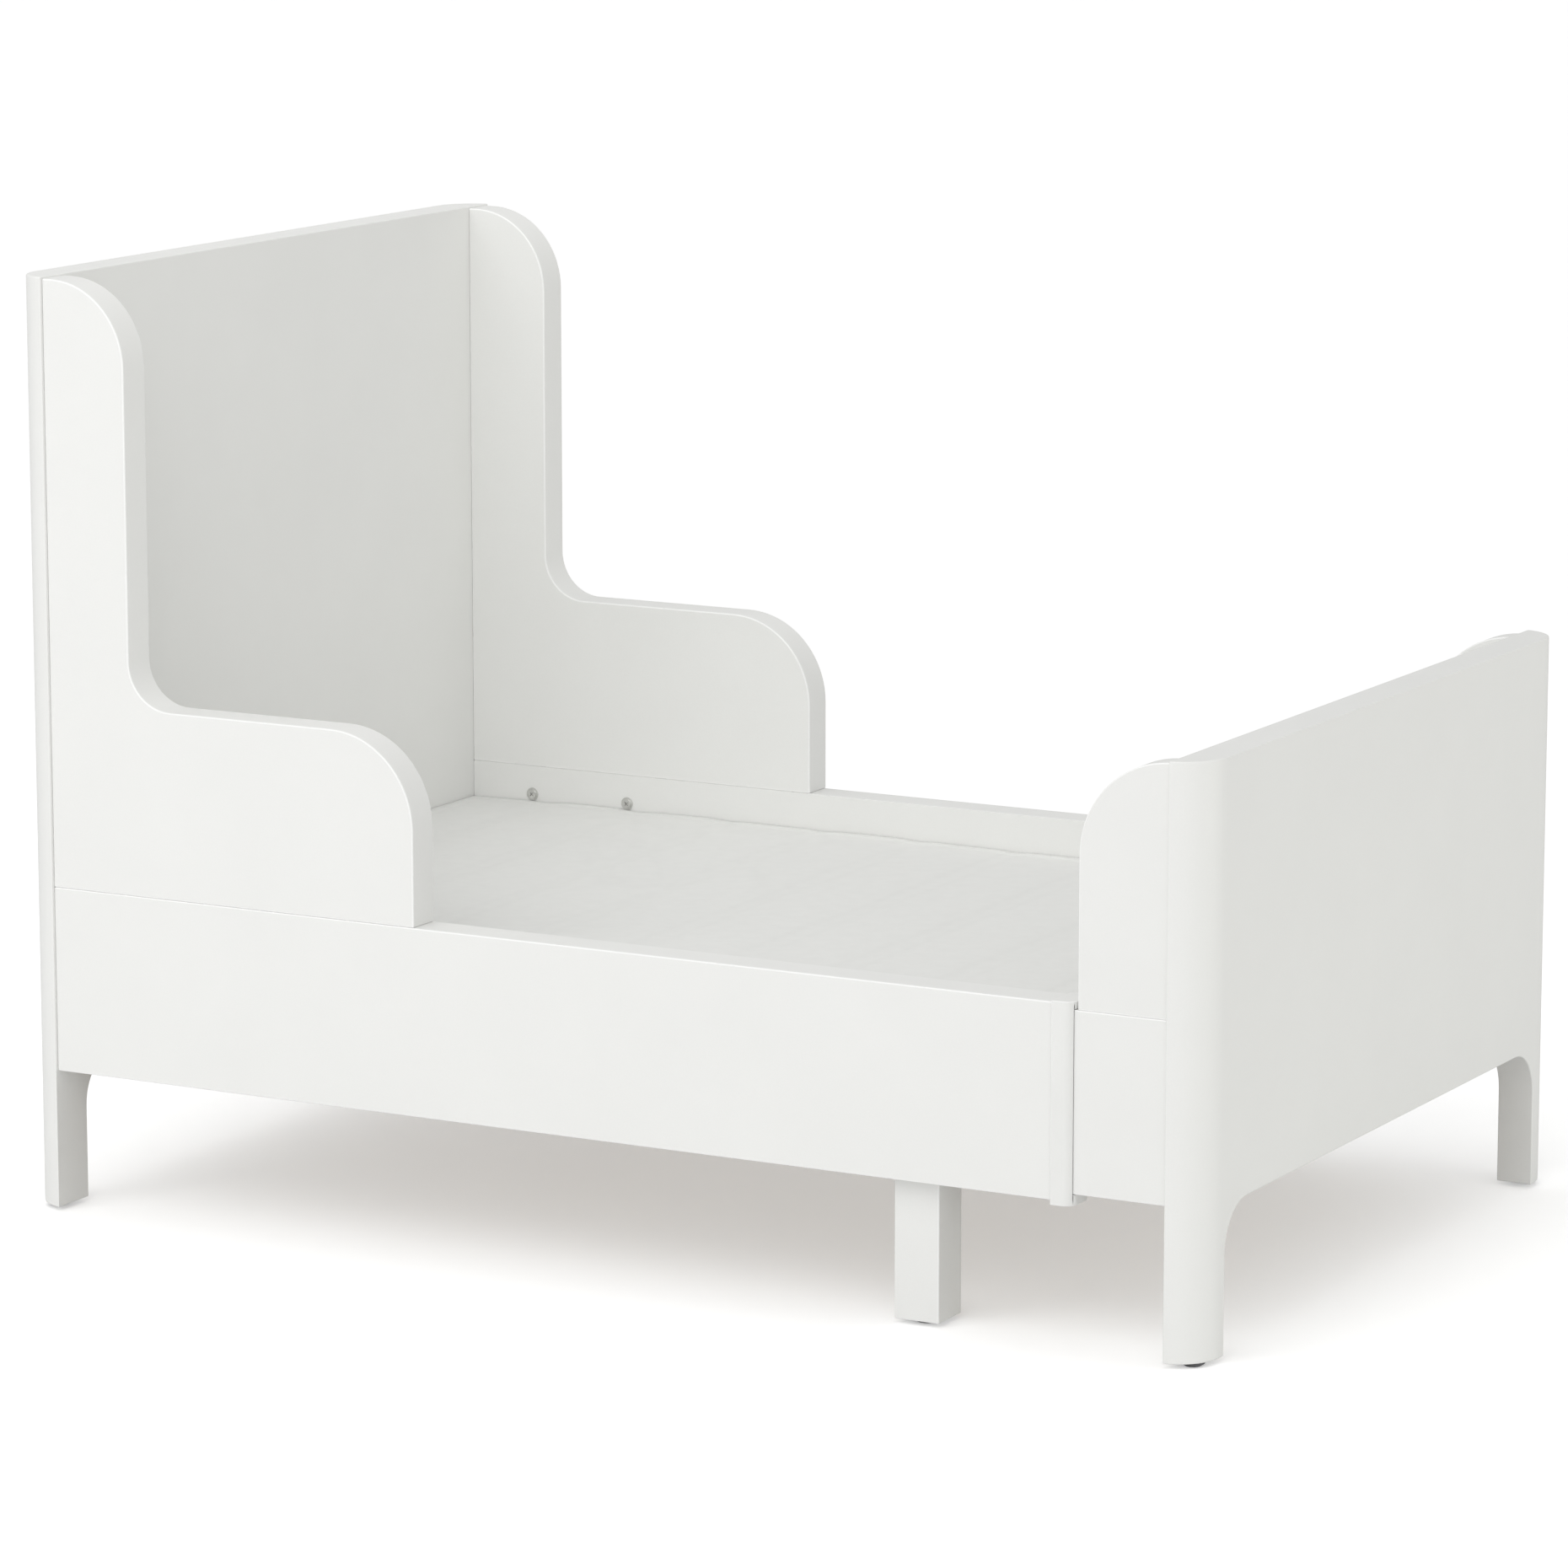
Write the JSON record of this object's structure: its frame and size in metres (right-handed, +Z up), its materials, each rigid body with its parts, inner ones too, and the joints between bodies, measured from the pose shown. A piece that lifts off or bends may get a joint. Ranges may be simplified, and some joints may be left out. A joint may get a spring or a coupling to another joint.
{
  "type": "toddler bed",
  "caption": "White extendable toddler bed: tall headboard with curved side wings, box side rails, low footboard on sliding rails, fabric-covered slat base.",
  "frame": {"origin": "on the floor, under the centre of the closed bed", "axes": "+X towards the foot of the bed, +Y towards the far side, +Z up"},
  "size_m": [1.38, 0.9, 1],
  "materials": {
    "white_board": "satin white lacquer or foil on fibreboard",
    "white_leg": "satin white lacquer on solid wood",
    "cap_plastic": "fine-textured moulded plastic",
    "bare_wood": "planed pine and beech",
    "slat_veneer": "layer-glued birch veneer",
    "base_fabric": "white non-woven fabric",
    "zinc_steel": "bright zinc plated",
    "glide_plastic": "dark grey moulded plastic",
    "slide_pad": "slippery white polyethylene"
  },
  "bodies": {
    "head_section": {"headboard": "white_board", "near_rail": "white_board", "far_rail": "white_board", "near_wing": "white_board", "far_wing": "white_board", "near_middle_leg": "white_leg", "far_middle_leg": "white_leg", "near_end_cap": "cap_plastic", "far_end_cap": "cap_plastic", "near_rail_block": "bare_wood", "far_rail_block": "bare_wood", "cross_beam": "bare_wood", "near_ledge": "bare_wood", "far_ledge": "bare_wood", "head_dowels": "bare_wood", "head_slat_1": "slat_veneer", "head_slat_2": "slat_veneer", "head_slat_3": "slat_veneer", "head_slat_4": "slat_veneer", "head_slat_5": "slat_veneer", "head_slat_6": "slat_veneer", "head_slat_7": "slat_veneer", "head_slat_8": "slat_veneer", "head_slat_9": "slat_veneer", "head_slat_10": "slat_veneer", "head_base_cover": "base_fabric", "rail_screws": "zinc_steel", "ledge_screws": "zinc_steel", "leg_screws": "zinc_steel", "head_brackets": "zinc_steel", "head_bracket_screws": "zinc_steel", "head_glides": "glide_plastic", "middle_glides": "glide_plastic"},
    "foot_section": {"footboard": "white_board", "near_foot_rail": "white_board", "far_foot_rail": "white_board", "near_foot_wing": "white_board", "far_foot_wing": "white_board", "near_runner": "bare_wood", "far_runner": "bare_wood", "stop_bar": "bare_wood", "end_ledge": "bare_wood", "foot_slat_1": "slat_veneer", "foot_slat_2": "slat_veneer", "foot_slat_3": "slat_veneer", "foot_slat_4": "slat_veneer", "foot_slat_5": "slat_veneer", "foot_slat_6": "slat_veneer", "foot_slat_7": "slat_veneer", "foot_slat_8": "slat_veneer", "foot_slat_9": "slat_veneer", "foot_base_cover": "base_fabric", "foot_dowels": "bare_wood", "foot_brackets": "zinc_steel", "foot_bracket_screws": "zinc_steel", "foot_glides": "glide_plastic", "slide_pads": "slide_pad"}
  },
  "joints": [
    {"name": "foot_extension", "type": "slide", "parent": "head_section", "child": "foot_section", "axis": [1, 0, 0], "range_m": [0, 0.7]}
  ]
}
